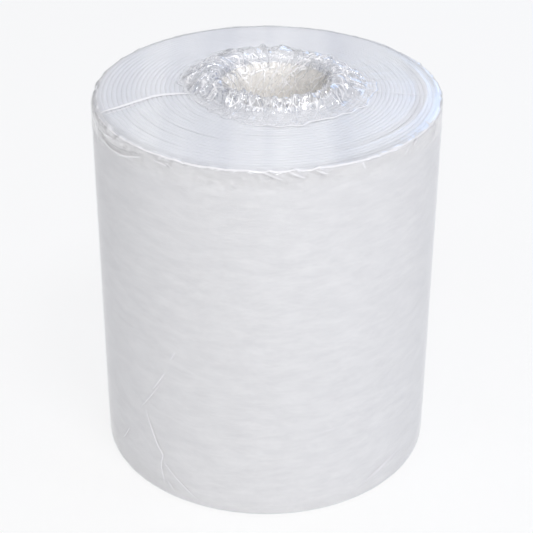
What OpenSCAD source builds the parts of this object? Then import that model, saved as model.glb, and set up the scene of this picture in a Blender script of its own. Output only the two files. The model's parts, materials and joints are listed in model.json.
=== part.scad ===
// A roll of nonwoven cleaning wipes, wrapped in clear film.
// One long web is wound up without a core. The film is drawn round the roll, gathered in a collar over
// the hole and tucked into it at both ends.
// Millimetres, +Z up. The origin is where the roll's axis meets the surface that it stands on.

/* [Roll] */
// Outer diameter of the wound web
roll_d = 176; // [150:1:300]
// Width of the web, which is the height of the bare roll
web_w = 200; // [120:1:300]
// Thickness of one turn of the nonwoven, seen as the step at its loose end
web_t = 0.4; // [0.2:0.05:1]
// Diameter of the hole through the middle
bore_d = 56; // [40:1:70]
// How far the hole is off the axis, to the right
bore_off_x = 4; // [0:0.5:6]
// How far the hole is off the axis, to the back
bore_off_y = 3; // [0:0.5:6]
// Rise of the top end from its rim to the hole
crown = 2.5; // [0:0.1:6]
// Radius of the soft upper edge
shoulder_r = 4; // [2:0.5:8]
// Radius of the lower edge, pressed sharper by the roll's weight
foot_r = 1; // [0.5:0.1:3]
// Direction of the web's loose end, from +X towards +Y
tail_angle = 130; // [0:1:359]

/* [Turns] */
// Number of ridges that the turns make in each end
ridges = 18; // [8:1:24]
// Height of those ridges
ridge_h = 0.5; // [0.2:0.05:1]

/* [Film] */
// Thickness of the film
film_t = 0.15; // [0.1:0.01:0.3]
// Clearance between the film and the outside of the roll
film_gap = 0.1; // [0.1:0.01:0.3]
// Clearance between the tucked film and the wall of the hole
tuck_gap = 0.05; // [0.05:0.01:0.2]
// Depth of the film that is tucked in at the top
tuck_top = 48; // [20:1:50]
// Depth of the film that is tucked in at the bottom
tuck_foot = 40; // [20:1:50]

/* [Collar] */
// Width of the gathered collar, from the edge of the hole outwards
collar_w = 21; // [10:0.5:24]
// Height of the collar over the top end
collar_h = 6; // [2:0.5:8]
// How far the middle of the collar's outer edge is off the axis, to the right
collar_off_x = 6; // [0:0.5:8]
// How far the middle of the collar's outer edge is off the axis, to the back
collar_off_y = 6; // [0:0.5:8]
// Number of main folds round the collar
folds = 23; // [12:1:26]
// How far those folds stand up or sink in
fold_h = 1.4; // [0:0.1:1.8]

/* [Hidden] */

$fn = 120;
roll_r = roll_d / 2;
bore_r = bore_d / 2;
bore_centre = [bore_off_x, bore_off_y];
collar_centre = [collar_off_x, collar_off_y];
top_r = roll_r - shoulder_r;    // where the flat of the top end begins
base_z = film_t + film_gap;     // underside of the bare roll, which stands on the film
rim_z = base_z + web_w;         // top of the roll at its rim
pitch = (top_r - bore_r) / ridges;
crown_power = 0.6;              // under 1, the end rises fast at the rim and levels out
cut = 1;                        // how far a cut runs past what it cuts
edge_fn = 64;                   // corners of the circles that round the edges

// The ends of the turns lie about a centre that moves from the axis at the rim to the hole's centre
function turn_centre(r) = bore_centre * min(1, max(0, (top_r - r) / (top_r - bore_r)));
// Share of the way in from the outside of the roll, 0, to the hole, 1
function way_in(r) = min(1, max(0, (roll_r - r) / (roll_r - bore_r)));
// Height of the top end at a turn's radius, without its ridges
function end_z(r) = rim_z + crown * pow(way_in(r), crown_power);

// The bare outside turn: soft above, pressed sharper below
module outer_body(r) {
    translate([0, 0, base_z]) cylinder(r = r - foot_r, h = foot_r + cut);
    translate([0, 0, base_z + foot_r]) {
        rotate_extrude() translate([r - foot_r, 0]) circle(r = foot_r, $fn = edge_fn);
        cylinder(r = r, h = web_w - shoulder_r - foot_r);
    }
    translate([0, 0, rim_z - shoulder_r]) {
        rotate_extrude() translate([r - shoulder_r, 0]) circle(r = shoulder_r, $fn = edge_fn);
        cylinder(r = r - shoulder_r, h = shoulder_r);
    }
}

// Half of the space round the roll, on the +Y side
module half_space() {
    side = 2 * roll_d;
    translate([-side / 2, 0, -cut]) cube([side, side, rim_z + 2 * cut]);
}

// The outermost turn creeps in by one thickness of web each time round. Two half turns about two
// centres give that spiral, and leave a step at the web's loose end
module outer_turns() {
    rotate(tail_angle) {
        intersection() {
            outer_body(roll_r);
            half_space();
        }
        intersection() {
            translate([-web_t / 2, 0, 0]) outer_body(roll_r - web_t / 2);
            rotate(180) half_space();
        }
    }
}

// A group of inner turns: a column of radius r that ends in a ridge at the top and at the bottom
module turn_group(r) {
    inner = r - pitch;
    middle = r - pitch / 2;
    foot = base_z + ridge_h;
    translate(turn_centre(r))
        rotate_extrude()
            polygon([
                [0, foot], [inner, foot], [middle, base_z], [r, foot],
                [r, end_z(r)], [middle, end_z(r) + ridge_h], [inner, end_z(r)], [0, end_z(r)]
            ]);
}

module wipes_roll() {
    color("whitesmoke")
        difference() {
            union() {
                difference() {
                    outer_turns();
                    // Only the ridges of the inner turns bear on the film below
                    translate([0, 0, base_z - cut]) cylinder(r = top_r, h = ridge_h + cut);
                }
                for (i = [0 : ridges - 1]) turn_group(top_r - i * pitch);
            }
            translate([bore_off_x, bore_off_y, -cut]) cylinder(r = bore_r, h = rim_z + crown + 3 * cut);
        }
}

// The film is one skin, drawn as points for an angle a round the roll and a distance e outwards from
// the side that faces the roll, so that the same functions give both of its sides

sides = 120;                    // corners round the film
collar_steps = 8;               // steps up and over the collar
shoulder_flats = 3;             // flats that stand for the film's curve over the upper edge
foot_flats = 2;                 // the same for the lower edge
face_shares = [0.6, 0.25];      // rings on the taut top, from 0 at the rim to 1 at the collar
peak_power = 0.55;              // under 1, the collar peaks near the hole and slopes outwards
peak_round = 0.8;               // under 1, the collar's back is rounder

// Waves round the roll are sets of [beats, strength, phase]
fold_waves = [[folds, 0.45, 0], [2 * folds + 5, 0.25, 40], [9, 0.3, 110]];
swell_waves = [[2, 0.08, 200], [3, 0.05, 20], [7, 0.03, 75], [13, 0.02, 0]];
hem_waves = [[4, 1.8, 10], [7, 1.2, 80]];

function waves(set, a, i = 0) =
    i == len(set) ? 0 : set[i][1] * sin(set[i][0] * a + set[i][2]) + waves(set, a, i + 1);

function point_at(centre, r, a) = centre + r * [cos(a), sin(a)];
// Corners of a quarter circle, as [angle, stretch], whose flats lie outside the true arc
function quarter(flats) = concat(
    [[0, 1]],
    [for (k = [1 : flats]) [90 * (k - 0.5) / flats, 1 / cos(45 / flats)]],
    [[90, 1]]
);

// Radius of the turn that a point on the top end lies on, found in two steps
function turn_radius(p) = norm(p - turn_centre(norm(p - turn_centre(norm(p)))));
// A point of the film, by how far it is over the crests of the turns
function over_end(p, lift) = [p.x, p.y, end_z(turn_radius(p)) + ridge_h + lift];

function tuck_point(a, e, z) =
    let (p = point_at(bore_centre, bore_r - tuck_gap - e, a)) [p.x, p.y, z];

// The collar's width and height swell and shrink along the way round
function swell(a) = 1 + waves(swell_waves, a);
function collar_edge(a) = bore_r + collar_w * swell(a);

// Over the share u of the collar's width it rises from the hole and slopes down to the taut film
function collar_point(a, e, u) =
    let (
        r = bore_r + (collar_edge(a) - bore_r) * u - (tuck_gap + e) * (1 - u),
        centre = bore_centre + (collar_centre - bore_centre) * u,
        arch = pow(sin(180 * pow(u, peak_power)), peak_round),
        lift = arch * (collar_h * swell(a) + fold_h * waves(fold_waves, a))
    )
    over_end(point_at(centre, r, a), film_gap + e + lift);

// The taut film runs from the collar's edge, share 1, out to the rim, share 0
function face_point(a, e, share) =
    over_end(point_at(collar_centre * share, top_r + (collar_edge(a) - top_r) * share, a), film_gap + e);

// The film round the edges, for one corner of a quarter circle from the side inwards
function shoulder_point(a, e, corner) =
    let (
        start_z = rim_z - shoulder_r,
        rise = end_z(top_r) + ridge_h + film_gap + e - start_z,
        out = (shoulder_r + film_gap + e) * corner[1] * cos(corner[0]),
        p = point_at([0, 0], top_r + out, a)
    )
    [p.x, p.y, start_z + rise * corner[1] * sin(corner[0])];
function foot_point(a, e, corner) =
    let (
        r = (foot_r + film_gap + e) * corner[1],
        p = point_at([0, 0], roll_r - foot_r + r * cos(corner[0]), a)
    )
    [p.x, p.y, base_z + foot_r - r * sin(corner[0])];

// All points at one angle, from the hem in the top of the hole, round the outside, to the hem in the
// bottom of the hole
function skin(a, e) = concat(
    [tuck_point(a, e, end_z(bore_r) - tuck_top + waves(hem_waves, a))],
    [tuck_point(a, e, end_z(bore_r))],
    [for (k = [0 : collar_steps]) collar_point(a, e, k / collar_steps)],
    [for (share = face_shares) face_point(a, e, share)],
    [for (k = [shoulder_flats + 1 : -1 : 0]) shoulder_point(a, e, quarter(shoulder_flats)[k])],
    [for (corner = quarter(foot_flats)) foot_point(a, e, corner)],
    [tuck_point(a, e, film_t - e)],
    [tuck_point(a, e, tuck_foot - waves(hem_waves, a))]
);

module film_wrap() {
    columns = [
        for (j = [0 : sides - 1])
            let (a = 360 * j / sides, near = skin(a, 0), far = skin(a, film_t))
                concat(near, [for (k = [len(far) - 1 : -1 : 0]) far[k]])
    ];
    loop = len(columns[0]);
    faces = [
        for (j = [0 : sides - 1], k = [0 : loop - 1])
            let (
                next_j = (j + 1) % sides,
                next_k = (k + 1) % loop,
                corners = [j * loop + k, j * loop + next_k, next_j * loop + next_k, next_j * loop + k]
            )
                for (t = [[0, 1, 2], [0, 2, 3]]) [for (c = t) corners[c]]
    ];
    color("lightcyan", 0.35)
        polyhedron([for (column = columns) for (p = column) p], faces, convexity = 6);
}

wipes_roll();
film_wrap();
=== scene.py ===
"""Dresses the roll of nonwoven cleaning wipes: the wound web, the clear film round it and the studio.

Sizes are in millimetres inside the classes and in metres in the meshes. Angles go round the roll from
+X, the right of the photograph, over +Y, its back, and a camera at the photograph's place looks along +Y.
"""

from __future__ import annotations

import json
import logging
import math
from dataclasses import dataclass
from enum import Enum

import bmesh
import bpy
import numpy as np
from mathutils import Matrix, Vector, geometry

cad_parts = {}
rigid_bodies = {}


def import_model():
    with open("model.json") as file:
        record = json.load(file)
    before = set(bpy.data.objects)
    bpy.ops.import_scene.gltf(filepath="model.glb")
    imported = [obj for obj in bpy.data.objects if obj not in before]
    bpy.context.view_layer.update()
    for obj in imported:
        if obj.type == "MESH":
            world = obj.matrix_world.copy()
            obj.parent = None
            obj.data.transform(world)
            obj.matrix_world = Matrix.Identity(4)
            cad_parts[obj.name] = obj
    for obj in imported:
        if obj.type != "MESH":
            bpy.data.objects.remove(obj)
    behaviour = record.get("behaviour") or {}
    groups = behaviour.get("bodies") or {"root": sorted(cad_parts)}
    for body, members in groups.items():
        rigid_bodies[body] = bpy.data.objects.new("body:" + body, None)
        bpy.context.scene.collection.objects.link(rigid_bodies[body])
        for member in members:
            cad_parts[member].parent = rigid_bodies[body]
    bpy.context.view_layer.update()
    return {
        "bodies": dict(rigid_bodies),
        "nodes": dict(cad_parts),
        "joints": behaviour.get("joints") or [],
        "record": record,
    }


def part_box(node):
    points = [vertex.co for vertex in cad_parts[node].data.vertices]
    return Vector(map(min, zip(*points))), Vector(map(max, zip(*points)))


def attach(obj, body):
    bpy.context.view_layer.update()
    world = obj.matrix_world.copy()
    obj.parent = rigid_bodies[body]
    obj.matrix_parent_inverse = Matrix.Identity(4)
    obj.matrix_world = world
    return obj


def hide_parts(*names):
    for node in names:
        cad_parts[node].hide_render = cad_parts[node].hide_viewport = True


LOG = logging.getLogger("wipes_roll")
MM = 0.001
FULL_TURN = 2 * math.pi


class Tone(Enum):
    """Colours of the roll and the studio, as sRGB hex values."""

    WEB = "f8f6f3"
    WEB_SHADE = "e6e4e2"
    # Lighter, warmer tones of the web for the hole's wall, a painted glow of the light gathered in the hole
    BORE_PAINTED_GLOW = "fdf9f2"
    BORE_PAINTED_GLOW_SHADE = "f8f3ea"
    CUT_EDGE = "f3f2f1"
    CUT_SHADE = "e3e3e5"
    FILM_TINT = "fcfdfe"
    # Painted shade that darkens the clear film along its dark lines
    FILM_PAINTED_FOLD_SHADE = "bcc2ce"
    FILM_HAZE = "fbfafa"
    GLOSS = "ffffff"
    FLOOR = "f4f4f4"
    WHITE = "ffffff"
    SKY = "ecf0ff"
    HORIZON = "fafafe"
    KEY_LIGHT = "fafafd"
    TOP_LIGHT = "eef1ff"
    BLUE_CARD = "a8ccff"


class Slot(Enum):
    """Material slots of the record."""

    NONWOVEN = "nonwoven"
    FILM = "clear_film"


def linear(tone: Tone) -> tuple[float, float, float, float]:
    """Turn an sRGB hex colour into linear values.

    Args:
        tone: The colour.

    Returns:
        Red, green, blue and an alpha of 1.
    """
    values = [int(tone.value[i : i + 2], 16) / 255 for i in (0, 2, 4)]
    curved = [v / 12.92 if v <= 0.04045 else ((v + 0.055) / 1.055) ** 2.4 for v in values]
    return (*curved, 1.0)


def add_node(tree: bpy.types.NodeTree, kind: str, inputs: dict | None = None, **settings) -> bpy.types.Node:
    """Add a node with its settings and links.

    Args:
        tree: The node tree.
        kind: The node's type.
        inputs: Socket name or number to a value, or to the output socket that feeds it.
        **settings: Properties of the node.

    Returns:
        The new node.
    """
    node = tree.nodes.new(kind)
    for name, value in settings.items():
        setattr(node, name, value)
    for key, value in (inputs or {}).items():
        if isinstance(value, bpy.types.NodeSocket):
            tree.links.new(value, node.inputs[key])
        else:
            node.inputs[key].default_value = value
    return node


def work_out(tree: bpy.types.NodeTree, values: dict, steps: tuple) -> None:
    """Add one Math node for each step, and keep its result by name.

    Args:
        tree: The node tree.
        values: Sockets by name, which grows.
        steps: Name, operation and two operands, each a number or an earlier name.
    """
    for name, operation, first, second in steps:
        node = add_node(
            tree,
            "ShaderNodeMath",
            {0: values.get(first, first), 1: values.get(second, second)},
            operation=operation,
        )
        values[name] = node.outputs[0]


def around(values: tuple[float, ...], theta: np.ndarray) -> np.ndarray:
    """Run a smooth closed curve through values that are evenly spaced round the roll.

    Args:
        values: Values at equal angles, the first at +X.
        theta: Angles in radians.

    Returns:
        The curve's value at each angle.
    """
    knots = np.asarray(values, float)
    place = (theta % FULL_TURN) / FULL_TURN * len(knots)
    index = np.floor(place).astype(int)
    t = place - index
    before, here, after, later = (knots[(index + k) % len(knots)] for k in (-1, 0, 1, 2))
    bend = 2 * before - 5 * here + 4 * after - later
    return here + 0.5 * t * (after - before + t * (bend + t * (3 * (here - after) + later - before)))


def ripple(theta: np.ndarray, beats: tuple[int, ...], seed: int) -> np.ndarray:
    """Add up waves round the roll whose phases are drawn from a seed.

    Args:
        theta: Angles in radians.
        beats: Number of waves round the roll, for each wave.
        seed: Seed of the phases.

    Returns:
        Values of about -1 to 1.
    """
    phases = np.random.default_rng(seed).uniform(0, FULL_TURN, len(beats))
    return sum(np.sin(b * theta + p) for b, p in zip(beats, phases)) / math.sqrt(len(beats))


def crest(phase: np.ndarray, sharpness: float = 0.97) -> np.ndarray:
    """Turn a phase into a wave with straight flanks and nearly sharp crests, as creased film has.

    Args:
        phase: Phase in radians.
        sharpness: Under 1; at 1 the crests are sharp.

    Returns:
        Values from -1 to 1.
    """
    return np.arcsin(sharpness * np.sin(phase)) / math.asin(sharpness)


def ease(low: float, high: float, value: np.ndarray) -> np.ndarray:
    """Rise smoothly from 0 at low to 1 at high.

    Args:
        low: Where the rise starts.
        high: Where it ends. Below low, the curve falls instead.
        value: Places to read.

    Returns:
        Values from 0 to 1.
    """
    t = np.clip((value - low) / (high - low), 0, 1)
    return t * t * (3 - 2 * t)


def smooth_path(points: tuple, count: int) -> np.ndarray:
    """Run a smooth open curve through points.

    Args:
        points: The points, each of the same number of values.
        count: How many points to give back.

    Returns:
        Points on the curve, one a row.
    """
    knots = np.array(points, float)
    knots = np.vstack([2 * knots[0] - knots[1], knots, 2 * knots[-1] - knots[-2]])
    place = np.linspace(0, len(points) - 1, count)
    index = np.minimum(place.astype(int), len(points) - 2)
    t = (place - index)[:, None]
    before, here, after, later = (knots[index + k] for k in range(4))
    bend = 2 * before - 5 * here + 4 * after - later
    return here + 0.5 * t * (after - before + t * (bend + t * (3 * (here - after) + later - before)))


@dataclass
class Patch:
    """A grid of points in millimetres. Rows follow a section, and columns go round the roll.

    Its finish is the number of a material, or one such number for each row of faces.
    """

    points: np.ndarray
    finish: int | np.ndarray = 0
    closed: bool = True

    def quads(self, first: int) -> np.ndarray:
        """List the patch's faces, which point outwards when rows go over the top and down the side.

        Args:
            first: Number of the patch's first vertex in the mesh.

        Returns:
            Four vertex numbers a face.
        """
        rows, columns = self.points.shape[:2]
        number = first + np.arange(rows * columns).reshape(rows, columns)
        right = np.roll(number, -1, axis=1)
        last = columns if self.closed else columns - 1
        corners = (number[:-1, :last], number[1:, :last], right[1:, :last], right[:-1, :last])
        return np.stack(corners, axis=-1).reshape(-1, 4)

    def slots(self) -> np.ndarray:
        """List the material number of each face.

        Returns:
            Numbers in the order of the faces.
        """
        rows, columns = self.points.shape[:2]
        last = columns if self.closed else columns - 1
        return np.repeat(np.broadcast_to(self.finish, rows - 1), last).astype(np.int32)


def mesh_object(name: str, patches: list[Patch], finishes: list[bpy.types.Material]) -> bpy.types.Object:
    """Make one smooth mesh object of patches.

    Args:
        name: Name of the object.
        patches: Its grids of points, in millimetres.
        finishes: Its materials, which the patches give by number.

    Returns:
        The object, linked to the scene.
    """
    counts = [p.points.shape[0] * p.points.shape[1] for p in patches]
    starts = np.concatenate([[0], np.cumsum(counts)[:-1]])
    faces = [p.quads(int(s)) for p, s in zip(patches, starts)]
    slots = np.concatenate([p.slots() for p in patches])
    corners = np.concatenate(faces).astype(np.int32)
    points = np.concatenate([p.points.reshape(-1, 3) for p in patches]) * MM
    mesh = bpy.data.meshes.new(name)
    mesh.vertices.add(len(points))
    mesh.vertices.foreach_set("co", points.astype(np.float32).ravel())
    mesh.loops.add(corners.size)
    mesh.loops.foreach_set("vertex_index", corners.ravel())
    mesh.polygons.add(len(corners))
    mesh.polygons.foreach_set("loop_start", np.arange(0, corners.size, 4, dtype=np.int32))
    mesh.polygons.foreach_set("material_index", slots)
    mesh.update(calc_edges=True)
    mesh.validate()
    mesh.shade_smooth()
    for finish in finishes:
        mesh.materials.append(finish)
    thing = bpy.data.objects.new(name, mesh)
    bpy.context.scene.collection.objects.link(thing)
    return thing


@dataclass(frozen=True)
class Crease:
    """A fold or dent on the roll's side or rim, along points of angle in degrees and height in mm."""

    points: tuple[tuple[float, float], ...]
    rise: float
    width: float
    overhang: float = 0.0

    def push(self, theta: np.ndarray, height: np.ndarray, radius: float) -> np.ndarray:
        """How far the crease pushes the surface outwards.

        Args:
            theta: Angles in radians.
            height: Heights in millimetres, of a shape that goes with theta's.
            radius: Radius on which widths are measured.

        Returns:
            Outward distances in millimetres. A crease that sinks in has negative ones.
        """
        route = np.radians([p[0] for p in self.points]) * radius
        levels = np.array([p[1] for p in self.points], float)
        along = (theta % FULL_TURN) * radius
        nearest = np.full(np.broadcast(theta, height).shape, np.inf)
        strength = np.zeros_like(nearest)
        above = np.zeros(nearest.shape, bool)
        steps = len(route) - 1
        for i in range(steps):
            run = np.array([route[i + 1] - route[i], levels[i + 1] - levels[i]])
            share = ((along - route[i]) * run[0] + (height - levels[i]) * run[1]) / (run @ run)
            share = np.clip(share, 0, 1)
            gap = np.hypot(along - route[i] - share * run[0], height - levels[i] - share * run[1])
            closer = gap < nearest
            nearest = np.where(closer, gap, nearest)
            strength = np.where(closer, np.sin(math.pi * (0.08 + 0.84 * (i + share) / steps)), strength)
            above = np.where(closer, (height - levels[i]) * run[0] > (along - route[i]) * run[1], above)
        outside = np.exp(-nearest / (1.8 * self.width))
        under = -0.45 * np.exp(-nearest / (0.5 * self.width))
        hang = np.where(above, outside, under)
        valley = np.clip(1 - nearest / (1.6 * self.width), 0, 1) ** 1.6
        return strength * (self.rise * valley + self.overhang * hang)


@dataclass
class RollForm:
    """The form that the web and the film share, in millimetres about the roll's axis."""

    radius: float
    base: float
    rim: float
    bore_radius: float
    bore_centre: np.ndarray
    crown: float = 2.5
    crown_power: float = 0.6
    foot: float = 1.0
    web: float = 0.4
    tail_angle: float = 130.0
    rim_crumple: tuple[float, ...] = (0.8, 0.6, 0.6, 0.8, 1.0, 1.5, 1.1, 0.9)
    shoulders: tuple[float, ...] = (1.7, 2.0, 2.4, 3.0, 3.4, 1.9, 1.3, 1.4)
    edge_start: float = 82.0
    edge_fall: float = 0.026
    recess: tuple[float, ...] = (0.5, 0.3, 0.3, 0.5, 0.6, 0.8, 0.9, 0.7)
    crumple_reach: float = 24.0
    rim_cells: tuple[tuple[float, float, int, float], ...] = ((6, 4, 41, 0.5), (2.6, 2.2, 42, 0.3))
    rim_folds: tuple[Crease, ...] = (
        Crease(
            ((198, 196.9), (203, 195.6), (207, 195.2), (213, 194.8))
            + ((217.5, 194.9), (222, 195.6), (230, 197.4)),
            -0.9,
            0.6,
            1.9,
        ),
        Crease(
            ((207, 192.2), (211, 191.4), (216, 191.3), (221.5, 192.1), (226, 193.6), (230, 195.3)),
            0.8,
            0.9,
        ),
        Crease(((200, 199), (207, 198.3), (214.8, 197.6), (221, 198.6)), 0.8, 2.4),
        Crease(((222, 200.2), (227, 200), (233, 200.2), (239, 201)), 0.7, 1.0),
        Crease(((214, 201.8), (220, 201.3), (227, 201.2), (234, 201.6), (238, 202)), -0.5, 0.8, -0.5),
        Crease(((243.5, 203), (245.5, 201), (247, 199.5)), -1.2, 0.8, 0.4),
        Crease(((239, 198.6), (242.2, 196.2)), -0.7, 0.9),
        Crease(((241, 199.9), (244, 200.6), (247, 201)), 0.5, 0.8),
        Crease(((248, 201.2), (254.5, 200.2), (258, 200)), -0.4, 0.8),
        Crease(((270.5, 201.5), (273.5, 199.8), (276.8, 197)), 1.2, 0.7, 0.5),
        Crease(((269.5, 200), (272.5, 198.4), (275.8, 196.4)), -0.6, 1.1),
        Crease(((278.5, 201.5), (281, 199.8), (283.9, 196.8)), 1.2, 0.7, 0.5),
        Crease(((277.5, 200), (280, 198.4), (283, 196.2)), -0.5, 1.1),
        Crease(((286.5, 201), (288.6, 199.6), (290.7, 197.6)), 1.1, 0.7, 0.5),
        Crease(((285.5, 200), (287.5, 198.4), (289.8, 197)), -0.6, 1.0),
        Crease(((302.2, 201), (303.5, 195)), -1.0, 0.8, 0.12),
        Crease(((308.6, 201.2), (309.7, 198.8)), -1.1, 0.7),
        Crease(((319.8, 194), (321.2, 197), (322.6, 199.5)), -1.0, 0.8, 0.4),
        Crease(((324.2, 197), (325.5, 199.4), (326.8, 201.3)), -1.0, 0.7, 0.4),
        Crease(((334.5, 192.5), (338.5, 193.6), (340.8, 196.4), (338.8, 200.5)), -0.7, 1.0),
        Crease(((333, 194), (336, 195.5), (338, 198.5)), 0.5, 0.9),
        Crease(((15, 202), (13, 198.5), (12, 195)), -0.7, 1.1),
        Crease(((38, 201.5), (40, 198), (39, 194)), -0.6, 1.0),
        Crease(((62, 203), (60, 199.5), (58, 195)), -0.8, 1.2),
        Crease(((97, 202), (100, 198), (104, 196)), -0.7, 1.1),
        Crease(((128, 202), (131, 198), (137, 195.5)), -0.8, 1.2),
        Crease(((150, 203), (148, 199), (144, 195)), -0.9, 1.3),
        Crease(((160, 196.5), (168, 194.5), (178, 195.5), (186, 197)), -1.2, 1.4),
        Crease(((182, 202), (181, 197)), -0.6, 1.1),
    )

    @classmethod
    def from_frame(cls, frame: dict) -> RollForm:
        """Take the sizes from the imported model.


        Returns:
            The roll's form.
        """
        low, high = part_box("wipes_roll")
        bore = next(m for m in frame["record"]["mounts"] if m["name"] == "centre_bore")
        # The solid is highest on its innermost ridge, which lies a little outside the hole
        ridge = 0.5
        crest_share = 0.95
        rise = cls.crown * crest_share**cls.crown_power
        return cls(
            radius=-low.x / MM,
            base=low.z / MM,
            rim=high.z / MM - ridge - rise,
            bore_radius=bore["dims"]["r_mm"],
            bore_centre=np.array(bore["pos_m"][:2]) / MM,
        )

    @property
    def flat(self) -> float:
        """Radius of the outermost cut turn that shows in the ends."""
        return self.radius - 1.5

    def side(self, theta: np.ndarray) -> np.ndarray:
        """Radius of the side, which creeps in by one web's thickness from the loose end round to it.

        Args:
            theta: Angles in radians.

        Returns:
            Radii in millimetres.
        """
        turned = ((theta - math.radians(self.tail_angle)) % FULL_TURN) / FULL_TURN
        return self.radius - self.web * turned

    def end_height(self, x: np.ndarray, y: np.ndarray) -> np.ndarray:
        """Height of the top end at a place, without its ridges.

        Args:
            x: Places along X.
            y: Places along Y.

        Returns:
            Heights in millimetres.
        """
        turn = np.hypot(x, y)
        for _ in range(2):
            share = np.clip((self.flat - turn) / (self.flat - self.bore_radius), 0, 1)
            turn = np.hypot(x - self.bore_centre[0] * share, y - self.bore_centre[1] * share)
        way_in = np.clip((self.radius - turn) / (self.radius - self.bore_radius), 0, 1)
        fall = self.edge_fall * np.maximum(0, turn - self.edge_start) ** 2
        return self.rim + self.crown * way_in**self.crown_power - fall

    def push(self, theta: np.ndarray, height: np.ndarray) -> np.ndarray:
        """Outward push of the shallow recess under the rim and of all rim folds together.

        Args:
            theta: Angles in radians.
            height: Heights in millimetres, which go on over the shoulder as a length.

        Returns:
            Distances in millimetres.
        """
        hollow = -0.5 * around(self.recess, theta) * np.exp(-(((height - self.rim + 6.5) / 4) ** 2))
        return hollow + sum(fold.push(theta, height, self.radius) for fold in self.rim_folds)

    def outer_section(self, gap: float, theta: np.ndarray, flats: int) -> np.ndarray:
        """Points over the shoulder, down the side and round the foot, at a distance off the roll.

        Args:
            gap: Distance off the bare roll.
            theta: Angles in radians.
            flats: Steps round the shoulder.

        Returns:
            Points, one row a ring, from the edge of the flat to under the foot.
        """
        side = self.side(theta)
        bend = around(self.shoulders, theta)
        start = self.rim - bend
        flat = side - bend
        crest_height = self.end_height(flat * np.cos(theta), flat * np.sin(theta))
        lowest = float(start.min()) - 14
        rings = []
        for a in np.linspace(math.pi / 2, 0, flats + 1):
            reach = flat + (bend + gap) * math.cos(a)
            rise = (crest_height - start + gap) * math.sin(a)
            rings.append((reach, start + rise, start + bend * a))
        for share in np.linspace(0, 1, 30)[1:]:
            level = start + (lowest - start) * share
            rings.append((side + gap, level, level))
        for z in np.linspace(lowest, self.base + self.foot, 16)[1:]:
            rings.append((side + gap, z + 0 * theta, z + 0 * theta))
        for a in np.linspace(0, -math.pi / 2, 4)[1:]:
            z = self.base + self.foot + (self.foot + gap) * math.sin(a)
            rings.append((side - self.foot + (self.foot + gap) * math.cos(a), z + 0 * theta, z + 0 * theta))
        radius, height, level = (np.stack([ring[k] for ring in rings]) for k in range(3))
        along = self.rim + 1.0 - level.mean(1)
        length = FULL_TURN * self.radius
        crumples = sum(
            push * Facets(length, 0, self.crumple_reach, cell_round, cell_along, seed).read(len(theta), along)
            for cell_round, cell_along, seed, push in self.rim_cells
        )
        fade = (ease(-0.6, 0.6, along) * ease(19, 5, along))[:, None] * around(self.rim_crumple, theta)
        out = self.push(theta, level) + fade * crumples
        slope_r, slope_z = np.gradient(radius, axis=0), np.gradient(height, axis=0)
        slope = np.maximum(np.hypot(slope_r, slope_z), 1e-6)
        out = out * ease(self.rim + 1.6, self.rim, level)
        radius = radius - slope_z / slope * out
        height = np.maximum(height + slope_r / slope * out, 0)
        return np.stack([radius * np.cos(theta), radius * np.sin(theta), height], axis=-1)


@dataclass(frozen=True)
class SpunlaceFinish:
    """Spunlaced nonwoven: water jets tangle loose fibres into a soft, matt, slightly warm white sheet."""

    name: str = "spunlace_nonwoven"
    colour: Tone = Tone.WEB
    shade: Tone = Tone.WEB_SHADE
    roughness: float = 0.92
    fibre_mm: float = 2.8
    fibre_rise_mm: float = 0.22
    cloud_mm: float = 14.0
    lean: float = 0.2
    flattening: float = 3.2
    contrast: float = 1.1

    def material(self) -> bpy.types.Material:
        """Make the web's material: tangled fibres as bump, drawn coarser than real to show, over soft clouds.

        Returns:
            The material.
        """
        material = bpy.data.materials.new(self.name)
        material.use_nodes = True
        tree = material.node_tree
        tree.nodes.clear()
        place = add_node(tree, "ShaderNodeTexCoord").outputs["Object"]
        turned = add_node(
            tree,
            "ShaderNodeMapping",
            {"Vector": place, "Rotation": (0, self.lean, 0), "Scale": (1, 1, self.flattening)},
        ).outputs[0]
        fibres = add_node(
            tree,
            "ShaderNodeTexNoise",
            {
                "Vector": turned,
                "Scale": 1 / (self.fibre_mm * MM),
                "Detail": 4.0,
                "Roughness": 0.6,
                "Distortion": 0.8,
            },
        ).outputs[0]
        clouds = add_node(
            tree,
            "ShaderNodeTexNoise",
            {"Vector": turned, "Scale": 1 / (self.cloud_mm * MM), "Detail": 3.0, "Roughness": 0.55},
        ).outputs[0]
        bump = add_node(
            tree,
            "ShaderNodeBump",
            {"Height": fibres, "Distance": self.fibre_rise_mm * MM, "Strength": 0.6},
        ).outputs[0]
        values = {"fibres": fibres, "clouds": clouds}
        work_out(
            tree,
            values,
            (
                ("sum", "ADD", "fibres", "clouds"),
                ("centred", "SUBTRACT", "sum", 1.0),
                ("spread", "MULTIPLY", "centred", self.contrast),
                ("shade", "ADD", "spread", 0.5),
            ),
        )
        colour = add_node(
            tree,
            "ShaderNodeMix",
            {"Factor": values["shade"], "A": linear(self.colour), "B": linear(self.shade)},
            data_type="RGBA",
        )
        surface = add_node(
            tree,
            "ShaderNodeBsdfPrincipled",
            {"Base Color": colour.outputs["Result"], "Roughness": self.roughness, "Normal": bump},
        )
        surface.inputs["Specular IOR Level"].default_value = 0.25
        add_node(tree, "ShaderNodeOutputMaterial", {"Surface": surface.outputs[0]})
        return material


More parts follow.
